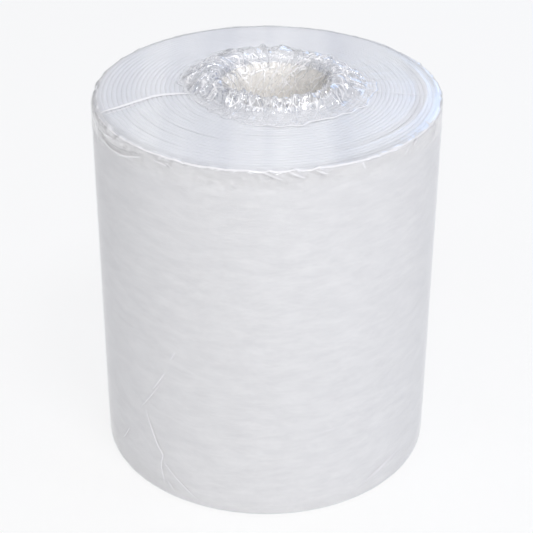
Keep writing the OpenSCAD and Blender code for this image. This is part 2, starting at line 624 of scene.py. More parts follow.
@dataclass(frozen=True)
class CutEdgeFinish:
    """Cut edges of the web at the roll's ends: the slit turns show as fine rings, a little uneven in tone,
    with painted shade in the grooves between turns.
    """

    colour: Tone = Tone.CUT_EDGE
    shade: Tone = Tone.CUT_SHADE
    roughness: float = 0.95
    painted_groove_shade: float = 0.35
    lint_mm: float = 0.7
    lint_rise_mm: float = 0.05

    def material(self) -> bpy.types.Material:
        """Make the cut edges' material, whose tone follows the turn's number that the spiral carries,
        darkened by painted shade along the grooves between turns.

        Returns:
            The material.
        """
        material = bpy.data.materials.new("slit_web_edges")
        material.use_nodes = True
        tree = material.node_tree
        tree.nodes.clear()
        place = add_node(tree, "ShaderNodeTexCoord").outputs["Object"]
        values = {"turn": add_node(tree, "ShaderNodeAttribute", attribute_name="turn").outputs["Fac"]}
        values["tone"] = add_node(
            tree,
            "ShaderNodeTexNoise",
            {"W": values["turn"], "Scale": 1.1, "Detail": 2.0, "Roughness": 0.7},
            noise_dimensions="1D",
        ).outputs[0]
        values["drift"] = add_node(
            tree,
            "ShaderNodeTexNoise",
            {"Vector": place, "Scale": 1 / (30 * MM), "Detail": 1.0},
        ).outputs[0]
        work_out(
            tree,
            values,
            (
                ("spread", "SUBTRACT", "tone", 0.5),
                ("wide", "MULTIPLY", "spread", 1.8),
                # From here on, a painted shade darkens each groove between two turns
                ("fraction", "FRACT", "turn", 0.0),
                ("twice", "MULTIPLY", "fraction", 2.0),
                ("centred", "SUBTRACT", "twice", 1.0),
                ("flank", "ABSOLUTE", "centred", 0.0),
                ("line", "POWER", "flank", 4.0),
                ("broken", "MULTIPLY", "line", "drift"),
                ("groove", "MULTIPLY", "broken", 2 * self.painted_groove_shade),
                ("level", "ADD", "wide", 0.35),
                ("shaded", "ADD", "level", "groove"),
                ("above", "MAXIMUM", "shaded", 0.0),
                ("share", "MINIMUM", "above", 1.0),
            ),
        )
        lint = add_node(
            tree,
            "ShaderNodeTexNoise",
            {"Vector": place, "Scale": 1 / (self.lint_mm * MM), "Detail": 3.0},
        ).outputs[0]
        bump = add_node(
            tree,
            "ShaderNodeBump",
            {"Height": lint, "Distance": self.lint_rise_mm * MM, "Strength": 0.5},
        ).outputs[0]
        colour = add_node(
            tree,
            "ShaderNodeMix",
            {"Factor": values["share"], "A": linear(self.colour), "B": linear(self.shade)},
            data_type="RGBA",
        )
        surface = add_node(
            tree,
            "ShaderNodeBsdfPrincipled",
            {"Base Color": colour.outputs["Result"], "Roughness": self.roughness, "Normal": bump},
        )
        surface.inputs["Specular IOR Level"].default_value = 0.2
        add_node(tree, "ShaderNodeOutputMaterial", {"Surface": surface.outputs[0]})
        return material


@dataclass(frozen=True)
class FilmFinish:
    """Blown polyethylene film: clear, a little milky, with a bright gloss that grows at a slant."""

    name: str
    roughness: float
    haze: float
    mirror: float
    slant_power: float = 5.0
    forward: float = 0.5
    wave_mm: float = 8.0
    wave_rise_mm: float = 0.05

    def surface(self, tree: bpy.types.NodeTree) -> dict:
        """Say how the film is: here it is even, with soft waves.

        Args:
            tree: The material's node tree.

        Returns:
            Mirror, haze, roughness and painted fold shade as numbers or sockets, and the normal's socket.
        """
        place = add_node(tree, "ShaderNodeTexCoord").outputs["Object"]
        waves = add_node(
            tree,
            "ShaderNodeTexNoise",
            {"Vector": place, "Scale": 1 / (self.wave_mm * MM), "Detail": 2.0},
        ).outputs[0]
        bump = add_node(
            tree,
            "ShaderNodeBump",
            {"Height": waves, "Distance": self.wave_rise_mm * MM},
        ).outputs[0]
        even = {"mirror": self.mirror, "haze": self.haze, "roughness": self.roughness}
        return even | {"normal": bump, "shade": 0.0}

    def material(self) -> bpy.types.Material:
        """Make the film's material: see-through, with a thin film's two reflections as gloss.

        Returns:
            The material.
        """
        material = bpy.data.materials.new(self.name)
        material.use_nodes = True
        tree = material.node_tree
        tree.nodes.clear()
        values = self.surface(tree)
        facing = {"Blend": 0.5, "Normal": values["normal"]}
        values["slant"] = add_node(tree, "ShaderNodeLayerWeight", facing).outputs["Facing"]
        work_out(
            tree,
            values,
            (
                ("grown", "POWER", "slant", self.slant_power),
                ("room", "SUBTRACT", 1.0, "mirror"),
                ("gained", "MULTIPLY", "grown", "room"),
                ("share", "ADD", "gained", "mirror"),
            ),
        )
        # The tint turns towards a painted fold shade where the shade mask is set
        tint = add_node(
            tree,
            "ShaderNodeMix",
            {"Factor": values["shade"], "A": linear(Tone.FILM_TINT), "B": linear(Tone.FILM_PAINTED_FOLD_SHADE)},
            data_type="RGBA",
        ).outputs["Result"]
        clear = add_node(tree, "ShaderNodeBsdfTransparent", {"Color": tint}).outputs[0]
        milk = add_node(tree, "ShaderNodeBsdfTranslucent", {"Color": linear(Tone.FILM_HAZE)}).outputs[0]
        powder = add_node(tree, "ShaderNodeBsdfDiffuse", {"Color": linear(Tone.FILM_HAZE)}).outputs[0]
        scatter = add_node(tree, "ShaderNodeMixShader", {0: self.forward, 1: powder, 2: milk}).outputs[0]
        body = add_node(tree, "ShaderNodeMixShader", {0: values["haze"], 1: clear, 2: scatter}).outputs[0]
        gloss = add_node(
            tree,
            "ShaderNodeBsdfAnisotropic",
            {"Color": linear(Tone.GLOSS), "Roughness": values["roughness"], "Normal": values["normal"]},
        ).outputs[0]
        surface = add_node(tree, "ShaderNodeMixShader", {0: values["share"], 1: body, 2: gloss}).outputs[0]
        add_node(tree, "ShaderNodeOutputMaterial", {"Surface": surface})
        return material


@dataclass(frozen=True)
class LooseFilmFinish(FilmFinish):
    """The same film where it hangs loose: small flat facets, and creases drawn as fine white lines, partly
    the film's own whitening and partly painted highlights.
    """

    taut_mirror: float = 0.06
    taut_roughness: float = 0.24
    facet_mm: float = 7.0
    facet_rise_mm: float = 0.9
    small_mm: float = 4.2
    pleat_mm: float = 4.6
    wrinkle_mm: float = 4.0
    wrinkle_rise_mm: float = 0.5
    line_mm: float = 0.5
    hole_share: float = 0.3
    place_radius_mm: float = 36.0

    def lines(self, tree: bpy.types.NodeTree, place: bpy.types.NodeSocket, cell: float, seed: float) -> tuple:
        """Lay a net of straight creases over the film.

        Args:
            tree: The material's node tree.
            place: Where the film is, in millimetres.
            cell: Size of the net's cells, in millimetres.
            seed: Shifts the net.

        Returns:
            The socket of the distance to the nearest crease, in cells, and that of the crease lines.
        """
        shifted = add_node(
            tree,
            "ShaderNodeVectorMath",
            {0: place, 1: (seed, 2 * seed, seed)},
            operation="ADD",
        ).outputs[0]
        edges = add_node(
            tree,
            "ShaderNodeTexVoronoi",
            {"Vector": shifted, "Scale": 1 / cell},
            feature="DISTANCE_TO_EDGE",
        ).outputs["Distance"]
        patches = add_node(
            tree,
            "ShaderNodeTexNoise",
            {"Vector": shifted, "Scale": 0.55 / cell, "Detail": 1.0},
        ).outputs[0]
        values = {"distance": edges, "patches": patches}
        work_out(
            tree,
            values,
            (
                ("near", "MULTIPLY", "distance", -2 * cell / self.line_mm),
                ("peak", "ADD", "near", 1.0),
                ("line", "MAXIMUM", "peak", 0.0),
                ("picked", "SUBTRACT", "patches", 0.46),
                ("steep", "MULTIPLY", "picked", 9.0),
                ("over", "MAXIMUM", "steep", 0.0),
                ("mask", "MINIMUM", "over", 1.0),
                ("shown", "MULTIPLY", "line", "mask"),
            ),
        )
        return edges, values["shown"]

    def slanted(
        self,
        tree: bpy.types.NodeTree,
        place: bpy.types.NodeSocket,
        slope: float,
    ) -> bpy.types.NodeSocket:
        """Turn the film's place more and more along the film, so that long folds run aslant.

        Args:
            tree: The material's node tree.
            place: Where the film is, in millimetres.
            slope: How far the folds lean, as a share of their length.

        Returns:
            The socket of the new place, drawn out along the folds.
        """
        values = {"along": add_node(tree, "ShaderNodeSeparateXYZ", {0: place}).outputs[2]}
        work_out(tree, values, (("turn", "MULTIPLY", "along", slope / self.place_radius_mm),))
        turned = add_node(
            tree,
            "ShaderNodeVectorRotate",
            {"Vector": place, "Angle": values["turn"]},
            rotation_type="Z_AXIS",
        ).outputs[0]
        return add_node(tree, "ShaderNodeMapping", {"Vector": turned, "Scale": (1, 1, 0.22)}).outputs[0]

    def surface(self, tree: bpy.types.NodeTree) -> dict:
        """Say how the film is, by the place and state that its mesh carries.

        Args:
            tree: The material's node tree.

        Returns:
            Sockets of the mirror, haze, roughness, painted fold shade and normal.
        """
        place = add_node(tree, "ShaderNodeAttribute", attribute_name="film_place").outputs["Vector"]
        state = add_node(tree, "ShaderNodeAttribute", attribute_name="film_state").outputs["Vector"]
        split = add_node(tree, "ShaderNodeSeparateXYZ", {0: state})
        wander = add_node(
            tree,
            "ShaderNodeTexNoise",
            {"Vector": place, "Scale": 0.12, "Detail": 2.0},
        ).outputs["Color"]
        bent = add_node(
            tree,
            "ShaderNodeVectorMath",
            {0: wander, 1: (4.0, 4.0, 4.0), 2: place},
            operation="MULTIPLY_ADD",
        ).outputs[0]
        long = add_node(tree, "ShaderNodeMapping", {"Vector": bent, "Scale": (1, 1, 0.5)}).outputs[0]
        rising, falling = self.slanted(tree, bent, 0.55), self.slanted(tree, bent, -0.45)
        values = {"slack": split.outputs[0], "tucked": split.outputs[1]}
        values["facet"], values["facet_line"] = self.lines(tree, long, self.facet_mm, 3.0)
        nets = (
            ("small_line", bent, self.small_mm, 11.0),
            ("pleat_line", rising, self.pleat_mm, 23.0),
            # Dark lines of painted shade in the loose film's folds
            ("painted_dark_line", falling, 0.8 * self.pleat_mm, 41.0),
        )
        for name, way, cell, seed in nets:
            values[name] = self.lines(tree, way, cell, seed)[1]
        for name, way in (("waves", rising), ("cross_waves", falling)):
            values[name] = add_node(
                tree,
                "ShaderNodeTexNoise",
                {"Vector": way, "Scale": 1 / self.wrinkle_mm, "Detail": 0.0},
            ).outputs[0]
        work_out(
            tree,
            values,
            (
                ("facet_rise", "MULTIPLY", "facet", self.facet_rise_mm),
                ("off_middle", "SUBTRACT", "waves", 0.5),
                ("folded", "ABSOLUTE", "off_middle", 0.0),
                ("wrinkle", "MULTIPLY", "folded", self.wrinkle_rise_mm),
                ("cross_middle", "SUBTRACT", "cross_waves", 0.5),
                ("cross_folded", "ABSOLUTE", "cross_middle", 0.0),
                ("cross_wrinkle", "MULTIPLY", "cross_folded", 0.8 * self.wrinkle_rise_mm),
                ("both", "ADD", "wrinkle", "cross_wrinkle"),
                ("rise", "ADD", "facet_rise", "both"),
                ("calm", "MULTIPLY", "tucked", 1 - self.hole_share),
                ("open", "SUBTRACT", 1.0, "calm"),
                ("strength", "MULTIPLY", "slack", "open"),
                ("gloss_gain", "MULTIPLY", "strength", self.mirror - self.taut_mirror),
                ("mirror", "ADD", "gloss_gain", self.taut_mirror),
                ("polish", "MULTIPLY", "slack", self.roughness - self.taut_roughness),
                ("roughness", "ADD", "polish", self.taut_roughness),
                # The crease nets raise the haze into fine white lines, partly painted highlights
                ("nets", "MAXIMUM", "facet_line", "small_line"),
                ("white", "MAXIMUM", "nets", "pleat_line"),
                ("creased", "MULTIPLY", "white", "slack"),
                ("haze", "ADD", "creased", self.haze),
                ("shade", "MULTIPLY", "painted_dark_line", "strength"),
            ),
        )
        values["normal"] = add_node(
            tree,
            "ShaderNodeBump",
            {"Height": values["rise"], "Distance": MM, "Strength": values["strength"]},
        ).outputs[0]
        return values


@dataclass
class SpiralEnd:
    """One end of the roll: the cut edge of the web as a spiral of ridges, made by Geometry Nodes."""

    form: RollForm
    turns: int
    steps: int
    upward: bool
    ridge: float = 0.22
    groove: float = 0.22
    loose: float = 0.45
    seed: float = 4.0

    MATH = (
        ("along", "ADD", "x", 0.5),
        ("across", "ADD", "y", 0.5),
        ("wound", "ADD", "Turns", 1.0),
        ("from_start", "MULTIPLY", "along", "wound"),
        ("turn", "SUBTRACT", "from_start", 1.0),
        ("turn_here", "ADD", "turn", "across"),
        ("begun", "MAXIMUM", "turn_here", 0.0),
        ("bounded", "MINIMUM", "begun", "Turns"),
        ("width", "SUBTRACT", "Outer Radius", "Inner Radius"),
        ("pitch", "DIVIDE", "width", "Turns"),
        ("sunk", "MULTIPLY", "bounded", "pitch"),
        ("radius", "SUBTRACT", "Outer Radius", "sunk"),
        ("shift", "DIVIDE", "sunk", "width"),
        ("turned", "MULTIPLY", "turn", FULL_TURN),
        ("angle", "MULTIPLY", "turned", "Direction"),
        ("cosine", "COSINE", "angle", 0.0),
        ("sine", "SINE", "angle", 0.0),
        ("off_x", "MULTIPLY", "shift", "Centre X"),
        ("off_y", "MULTIPLY", "shift", "Centre Y"),
        ("reach", "SUBTRACT", "Roll Radius", "radius"),
        ("whole", "SUBTRACT", "Roll Radius", "Inner Radius"),
        ("way_in", "DIVIDE", "reach", "whole"),
        ("curved", "POWER", "way_in", "Crown Power"),
        ("rise", "MULTIPLY", "curved", "Crown"),
        ("beyond", "SUBTRACT", "radius", "Edge Start"),
        ("past", "MAXIMUM", "beyond", 0.0),
        ("squared", "MULTIPLY", "past", "past"),
        ("fall", "MULTIPLY", "squared", "Edge Fall"),
        ("half_wave", "MULTIPLY", "across", math.pi),
        ("hump", "SINE", "half_wave", 0.0),
        ("ridge", "MULTIPLY", "hump", "Ridge"),
        ("centred", "MULTIPLY", "y", 2.0),
        ("flank", "ABSOLUTE", "centred", 0.0),
        ("steep", "POWER", "flank", 4.0),
        ("groove", "MULTIPLY", "steep", "Groove"),
        ("noise_x", "MULTIPLY", "cosine", 0.9),
        ("noise_y", "MULTIPLY", "sine", 0.9),
        ("noise_z", "MULTIPLY", "turn", 0.83),
    )
    LEVEL = (
        ("uneven", "SUBTRACT", "noise", 0.5),
        ("step", "MULTIPLY", "uneven", "Loose"),
        ("relief", "ADD", "ridge", "step"),
        ("cut", "SUBTRACT", "relief", "groove"),
        ("inset", "MULTIPLY", "sunk", 800.0),
        ("calm", "MINIMUM", "inset", 1.0),
        ("level_cut", "MULTIPLY", "cut", "calm"),
        ("out", "MULTIPLY", "level_cut", "Direction"),
        ("sloped", "SUBTRACT", "rise", "fall"),
        ("domed", "ADD", "sloped", "out"),
        ("z", "ADD", "domed", "Level"),
        ("plan_x", "MULTIPLY", "radius", "cosine"),
        ("plan_y", "MULTIPLY", "radius", "sine"),
        ("x_place", "ADD", "plan_x", "off_x"),
        ("y_place", "ADD", "plan_y", "off_y"),
    )

    def sizes(self) -> dict[str, float]:
        """The tree's named inputs.

        Returns:
            Input name to value, with lengths in metres.
        """
        form = self.form
        lengths = {
            "Outer Radius": form.flat,
            "Edge Start": form.edge_start,
            "Inner Radius": form.bore_radius,
            "Roll Radius": form.radius,
            "Centre X": form.bore_centre[0],
            "Centre Y": form.bore_centre[1],
            "Crown": form.crown if self.upward else 0.0,
            "Level": form.rim if self.upward else form.base + self.ridge + self.loose / 2,
            "Ridge": self.ridge,
            "Groove": self.groove,
            "Loose": self.loose,
        }
        plain = {
            "Turns": float(self.turns),
            "Crown Power": form.crown_power,
            "Edge Fall": form.edge_fall / MM if self.upward else 0.0,
            "Direction": 1.0 if self.upward else -1.0,
            "Seed": self.seed,
        }
        return {name: value * MM for name, value in lengths.items()} | plain

    def tree(self, name: str, finish: bpy.types.Material) -> bpy.types.GeometryNodeTree:
        """Build the node tree: a long grid, wound up into a spiral ribbon with a ridge along it.

        Args:
            name: Name of the tree.
            finish: The material that it sets.

        Returns:
            The tree.
        """
        tree = bpy.data.node_groups.new(name, "GeometryNodeTree")
        for size in self.sizes():
            tree.interface.new_socket(size, in_out="INPUT", socket_type="NodeSocketFloat")
        tree.interface.new_socket("Geometry", in_out="OUTPUT", socket_type="NodeSocketGeometry")
        group = add_node(tree, "NodeGroupInput")
        values = {size: group.outputs[size] for size in self.sizes()}
        grid = add_node(
            tree,
            "GeometryNodeMeshGrid",
            {"Size X": 1.0, "Size Y": 1.0, "Vertices X": (self.turns + 1) * self.steps + 1, "Vertices Y": 7},
        )
        place = add_node(tree, "GeometryNodeInputPosition").outputs[0]
        split = add_node(tree, "ShaderNodeSeparateXYZ", {0: place})
        values |= {"x": split.outputs[0], "y": split.outputs[1]}
        work_out(tree, values, self.MATH)
        spot = add_node(
            tree,
            "ShaderNodeCombineXYZ",
            {0: values["noise_x"], 1: values["noise_y"], 2: values["noise_z"]},
        ).outputs[0]
        values["noise"] = add_node(
            tree,
            "ShaderNodeTexNoise",
            {"Vector": spot, "W": values["Seed"], "Scale": 1.0, "Detail": 1.0},
            noise_dimensions="4D",
        ).outputs[0]
        work_out(tree, values, self.LEVEL)
        wound = add_node(
            tree,
            "ShaderNodeCombineXYZ",
            {0: values["x_place"], 1: values["y_place"], 2: values["z"]},
        ).outputs[0]
        moved = add_node(
            tree,
            "GeometryNodeSetPosition",
            {"Geometry": grid.outputs["Mesh"], "Position": wound},
        ).outputs[0]
        numbered = add_node(
            tree,
            "GeometryNodeStoreNamedAttribute",
            {"Geometry": moved, "Name": "turn", "Value": values["bounded"]},
            data_type="FLOAT",
            domain="POINT",
        ).outputs[0]
        real = add_node(tree, "GeometryNodeRealizeInstances", {"Geometry": numbered}).outputs[0]
        dressed = add_node(tree, "GeometryNodeSetMaterial", {"Geometry": real, "Material": finish}).outputs[0]
        add_node(tree, "NodeGroupOutput", {0: dressed})
        return tree

    def build(self, name: str, finish: bpy.types.Material) -> bpy.types.Mesh:
        """Run the tree and keep its result as a plain mesh.

        Args:
            name: Name of the tree and the mesh.
            finish: The material of the cut edges.

        Returns:
            The spiral's mesh.
        """
        carrier = bpy.data.objects.new(name, bpy.data.meshes.new(name))
        bpy.context.scene.collection.objects.link(carrier)
        tree = self.tree(name, finish)
        modifier = carrier.modifiers.new(name, "NODES")
        modifier.node_group = tree
        sizes = self.sizes()
        for item in tree.interface.items_tree:
            if item.in_out == "INPUT":
                modifier[item.identifier] = sizes[item.name]
        graph = bpy.context.evaluated_depsgraph_get()
        mesh = bpy.data.meshes.new_from_object(carrier.evaluated_get(graph))
        carrier.modifiers.remove(modifier)
        bpy.data.objects.remove(carrier)
        return mesh


@dataclass
class WoundWeb:
    """The wound web: its side with the rim's dents, its two spiral ends and the wall of its hole."""

    form: RollForm
    columns: int = 720
    top_turns: int = 26
    top_steps: int = 200

    def build(self) -> bpy.types.Object:
        """Build the web's mesh and dress it.

        Returns:
            The web as one object.
        """
        face = SpunlaceFinish().material()
        edges = CutEdgeFinish().material()
        # The hole's wall wears a lighter, warmer copy of the web, a painted glow
        inner = SpunlaceFinish("bore_web_painted_glow", Tone.BORE_PAINTED_GLOW, Tone.BORE_PAINTED_GLOW_SHADE).material()
        shell = mesh_object("wound_web", [self.side_patch(), self.bore_patch()], [face, edges, inner])
        top = SpiralEnd(self.form, self.top_turns, self.top_steps, upward=True).build("upper_turns", edges)
        foot = SpiralEnd(self.form, 20, 90, upward=False).build("lower_turns", edges)
        shell.data.attributes.new("turn", "FLOAT", "POINT")
        joined = bmesh.new()
        joined.from_mesh(shell.data)
        for end in (top, foot):
            end.polygons.foreach_set("material_index", np.ones(len(end.polygons), np.int32))
            joined.from_mesh(end)
            bpy.data.meshes.remove(end)
        joined.to_mesh(shell.data)
        joined.free()
        shell.data.shade_smooth()
        return shell

    def side_patch(self) -> Patch:
        """The outside turn, with a shelf inwards at each end that the spirals lie on.

        Returns:
            The patch, from the upper shelf over the side to the lower one.
        """
        form = self.form
        theta = np.arange(self.columns) * FULL_TURN / self.columns
        outer = form.outer_section(0.0, theta, 8)
        ring = np.stack([np.cos(theta), np.sin(theta), 0 * theta], axis=-1)
        shelf = form.flat - 4
        upper = ring * shelf + np.array([0, 0, form.rim - 0.4])
        step = outer[0] * np.array([0.985, 0.985, 1]) - np.array([0, 0, 0.3])
        lower = ring * shelf + np.array([0, 0, form.base + 0.8])
        return Patch(np.concatenate([upper[None], step[None], outer, lower[None]]))

    def bore_patch(self) -> Patch:
        """The wall of the hole, with a shelf outwards at each end.

        Returns:
            The patch, from the lower shelf up the wall to the upper one.
        """
        form = self.form
        theta = np.arange(self.columns // 2) * FULL_TURN / (self.columns // 2)
        top = form.rim + form.crown
        levels = np.linspace(form.base + 1.2, top - 0.7, 24)
        rings = [(form.bore_radius + 4, form.base + 0.8), (form.bore_radius + 0.5, form.base + 0.7)]
        rings += [(form.bore_radius, z) for z in levels]
        rings += [(form.bore_radius + 0.3, top - 0.25), (form.bore_radius + 4, top - 0.5)]
        wander = 0.25 * ripple(theta, (3, 5, 8), 11)
        rows = []
        for radius, height in rings:
            r = radius + wander * ease(top, top - 20, np.array(height))
            plan = form.bore_centre[:, None] + r * np.stack([np.cos(theta), np.sin(theta)])
            rows.append(np.stack([plan[0], plan[1], height + 0 * theta], axis=-1))
        return Patch(np.stack(rows), 2)


@dataclass(frozen=True)
class Facets:
    """Crumples as flat facets between scattered points, as in film that has been creased."""

    length: float
    low: float
    high: float
    cell_round: float
    cell_along: float
    seed: int
    jitter: float = 0.42

    def read(self, rounds: int, along: np.ndarray) -> np.ndarray:
        """Read the facets on a grid.

        Args:
            rounds: Number of columns round the film.
            along: Places of the rows, in millimetres.

        Returns:
            Values from -1 to 1, one row for each place, that repeat after a full turn.
        """
        draw = np.random.default_rng(self.seed)
        across = max(6, round(self.length / self.cell_round))
        levels = math.ceil((self.high - self.low) / self.cell_along) + 3
        columns, rows = np.meshgrid(np.arange(across), np.arange(levels))
        aside = draw.uniform(-self.jitter, self.jitter, columns.shape)
        x = (columns + 0.5 * (rows % 2) + aside) * self.length / across
        ahead = draw.uniform(-self.jitter, self.jitter, rows.shape)
        y = self.low + (rows - 1 + ahead) * self.cell_along
        value = draw.uniform(-1, 1, rows.shape)
        # The points repeat one turn further on each side, so that the facets close into a ring
        x = np.concatenate([x + self.length, x, x - self.length], axis=None)
        y, value = np.tile(y.ravel(), 3), np.tile(value.ravel(), 3)
        near = (x > -0.2 * self.length) & (x < 1.2 * self.length)
        x, y, value = x[near], y[near], value[near]
        sites = [Vector((a, b)) for a, b in zip(x, y)]
        triangles = geometry.delaunay_2d_cdt(sites, [], [], 0, 1e-6)[2]
        out = np.zeros((len(along), rounds))
        step = self.length / rounds
        for a, b, c in triangles:
            left = max(0, math.ceil(min(x[a], x[b], x[c]) / step))
            right = min(rounds - 1, math.floor(max(x[a], x[b], x[c]) / step))
            bottom = np.searchsorted(along, min(y[a], y[b], y[c]))
            top = np.searchsorted(along, max(y[a], y[b], y[c]))
            if right < left or top <= bottom:
                continue
            px = np.arange(left, right + 1) * step - x[a]
            py = along[bottom:top, None] - y[a]
            bx, by, cx, cy = x[b] - x[a], y[b] - y[a], x[c] - x[a], y[c] - y[a]
            area = bx * cy - by * cx
            if abs(area) < 1e-9:
                continue
            u = (px * cy - py * cx) / area
            v = (py * bx - px * by) / area
            inside = (u >= -1e-6) & (v >= -1e-6) & (u + v <= 1 + 1e-6)
            height = value[a] + u * (value[b] - value[a]) + v * (value[c] - value[a])
            block = out[bottom:top, left : right + 1]
            out[bottom:top, left : right + 1] = np.where(inside, height, block)
        return out


@dataclass(frozen=True)
class FilmFold:
    """A narrow fold that stands up from taut film, with its width and rise in millimetres."""

    points: tuple[tuple[float, ...], ...]
    width: float = 1.0
    rise: float = 0.35

    def tent(self, route: np.ndarray, outward: np.ndarray) -> Patch:
        """Make the fold as a low tent whose ends fade into the film.

        Args:
            route: Points on the film, one a row.
            outward: The way out of the film at each of them.

        Returns:
            The patch.
        """
        side = np.cross(outward, np.gradient(route, axis=0))
        side /= np.linalg.norm(side, axis=1, keepdims=True)
        fade = np.sin(math.pi * np.linspace(0.02, 0.98, len(route)))[:, None] ** 0.5
        half = side * self.width / 2 * fade
        return Patch(np.stack([route + half, route + outward * self.rise * fade, route - half]), closed=False)

    def on_side(self, outer: np.ndarray) -> Patch:
        """Lay the fold on the side. Its points are angles in degrees and heights.

        Args:
            outer: Points of the film round the outside, from the top down.

        Returns:
            The patch.
        """
        path = smooth_path(self.points, 5 * len(self.points))
        theta = np.radians(path[:, 0])
        columns = np.round(theta / FULL_TURN * outer.shape[1]).astype(int) % outer.shape[1]
        radii, heights = np.hypot(outer[::-1, :, 0], outer[::-1, :, 1]), outer[::-1, :, 2]
        radius = [np.interp(z, heights[:, c], radii[:, c]) + 0.05 for z, c in zip(path[:, 1], columns)]
        outward = np.stack([np.cos(theta), np.sin(theta), 0 * theta], axis=-1)
        return self.tent(outward * np.array(radius)[:, None] + np.array([0, 0, 1]) * path[:, 1:], outward)

    def on_end(self, form: RollForm, gap: float) -> Patch:
        """Lay the fold on the top end. Its points are X and Y.

        Args:
            form: The roll's form.
            gap: Distance of the film off the roll.

        Returns:
            The patch.
        """
        path = smooth_path(self.points, 6 * len(self.points))
        height = form.end_height(path[:, 0], path[:, 1]) + gap
        outward = np.tile([0.0, 0.0, 1.0], (len(path), 1))
        return self.tent(np.column_stack([path, height]), outward)


@dataclass
class FilmWrap:
    """The clear film: tucked into the hole, crumpled into a collar, then taut over the roll."""

    form: RollForm
    columns: int = 720
    gap: float = 0.35
    end_gap: float = 0.5
    foot_radii: tuple[float, ...] = (46, 44, 45, 46.5, 49, 48.5, 47, 41, 37.5, 35.5, 36.5, 41)
    tuck_top: float = 46.0
    tuck_foot: float = 40.0
    hole_rows: int = 44
    collar_rows: int = 84
    billow: tuple[float, ...] = (1.5, 1.8, 2.5, 4.5, 5.5, 3.5, 1.2, 1.0)
    edge_radii: tuple[float, ...] = (51, 46, 47, 48, 50.5, 50, 49, 44.5, 46.5, 48.5, 46.5, 49)
    lip_heights: tuple[float, ...] = (6.5, 5.5, 5, 5.5, 6.5, 7, 6.6, 6.5)
    crumple: tuple[float, ...] = (0.95, 0.8, 0.85, 1.0, 1.15, 1.0, 0.5, 0.6)
    crumple_cells: tuple[tuple[float, float, int], ...] = (
        (4.5, 13, 31),
        (2.3, 9, 32),
        (4.5, 10, 34),
        (6, 8, 35),
    )
    blister: tuple[float, ...] = (1.1, 0.3, 0.1, 0.1, 0.1, 0.1, 0.3, 1.0)
    sweep: float = 0.5
    pleats: int = 27
    fine_pleats: int = 63
    stretched_rows: tuple[int, int] = (-3, 24)
    edge_fold_span: tuple[float, float] = (258, 344)
    rim_fold_span: tuple[float, float] = (198, 354)
    end_folds: tuple[FilmFold, ...] = (
        FilmFold(((-79.5, -30.5), (-70.9, -24.9), (-56, -13.6), (-46, -10.8), (-38, -10.6)), 2.8, 0.7),
        FilmFold(((-77, -33), (-69, -27.5), (-60, -19)), 0.9, 0.25),
        FilmFold(((52, -2.8), (66, -3.6), (84, -4)), 0.9, 0.2),
        FilmFold(((76.8, -31.7), (80.5, -35.3)), 0.9, 0.25),
    )
    side_folds: tuple[FilmFold, ...] = (
        FilmFold(
            ((206, 192.7), (211, 191.8), (216, 191.6), (221.5, 192.4), (226, 194), (230, 195.8)),
            1.3,
            0.5,
        ),
        FilmFold(((208, 197.0), (213, 197.5), (218, 198.2)), 1.3, 0.35),
        FilmFold(((235.5, 197.4), (238.5, 197), (240.5, 196.4)), 1.0, 0.35),
        FilmFold(((240, 197.8), (241.3, 196.9), (242.8, 196.0)), 0.9, 0.3),
        FilmFold(((271, 199.8), (274, 198.2), (277, 196)), 1.6, 0.5),
        FilmFold(((279, 199.8), (281.5, 198.4), (284, 196.2)), 1.6, 0.5),
        FilmFold(((287, 199.8), (289, 198.6), (291, 197.2)), 1.3, 0.4),
        FilmFold(((302.4, 199.5), (303.3, 196)), 1.4, 0.35),
        FilmFold(((320, 194.5), (321.3, 197), (322.6, 199.2)), 1.0, 0.35),
        FilmFold(((324.4, 196.6), (325.6, 198.6), (326.6, 199.8)), 1.0, 0.3),
        FilmFold(((334.5, 192.8), (338.3, 193.8), (340.6, 196.4), (339, 199.4)), 1.0, 0.35),
        FilmFold(((241.7, 94.4), (240.8, 91), (239.5, 87.2))),
        FilmFold(((237.3, 78.6), (234.4, 71.5), (231.6, 64.9)), 1.2, 0.42),
        FilmFold(((236.3, 73), (230.5, 59.7), (223.6, 45.1)), 0.8, 0.3),
        FilmFold(((217.6, 28.6), (215.2, 22.8), (212.4, 16.8))),
        FilmFold(
            ((227.7, 49.9), (229.9, 40), (232.9, 29.7), (235, 25.1), (234.1, 17.8), (235.4, 6.1)),
            1.2,
            0.42,
        ),
        FilmFold(((236.8, 9.1), (238.2, 6.6), (239.7, 4.1))),
        FilmFold(((235.3, 20.7), (240.7, 13.2), (249.2, 3.5)), 1.0, 0.36),
        FilmFold(((307, 7.7), (315.5, 12.6), (325.5, 16.3)), 1.0, 0.36),
        FilmFold(((311.8, 9.4), (318.1, 12.9)), 0.8, 0.3),
        FilmFold(((291.5, 50.5), (295.4, 50.8)), 0.8, 0.3),
        FilmFold(((62, 150), (66, 138), (67, 121)), 0.9, 0.33),
        FilmFold(((120, 40), (116, 27), (117, 9)), 1.0, 0.36),
        FilmFold(((160, 66), (155, 52), (154, 41)), 0.9, 0.33),
        FilmFold(((14, 33), (19, 22), (21, 8)), 1.0, 0.36),
    )

    @property
    def place_radius(self) -> float:
        """Radius of the cylinder that the collar's film is unrolled from."""
        return self.form.bore_radius + 8

    def build(self) -> list[bpy.types.Object]:
        """Build the film's meshes and dress them.

        Returns:
            The loose collar, the taut skin and the folds that stand up from it.
        """
        theta = np.arange(self.columns) * FULL_TURN / self.columns
        collar, place, state = self.collar(theta)
        face = self.face(theta, collar[-1])
        outer = self.form.outer_section(self.gap, theta, 8)
        foot = self.foot(theta, outer[-1])
        # Loose film glints on its facets, and fine white lines along its creases are partly painted
        # highlights
        loose = LooseFilmFinish(
            "loose_clear_film", 0.06, 0.2, 0.11, 3.0, 0.1, place_radius_mm=self.place_radius
        )
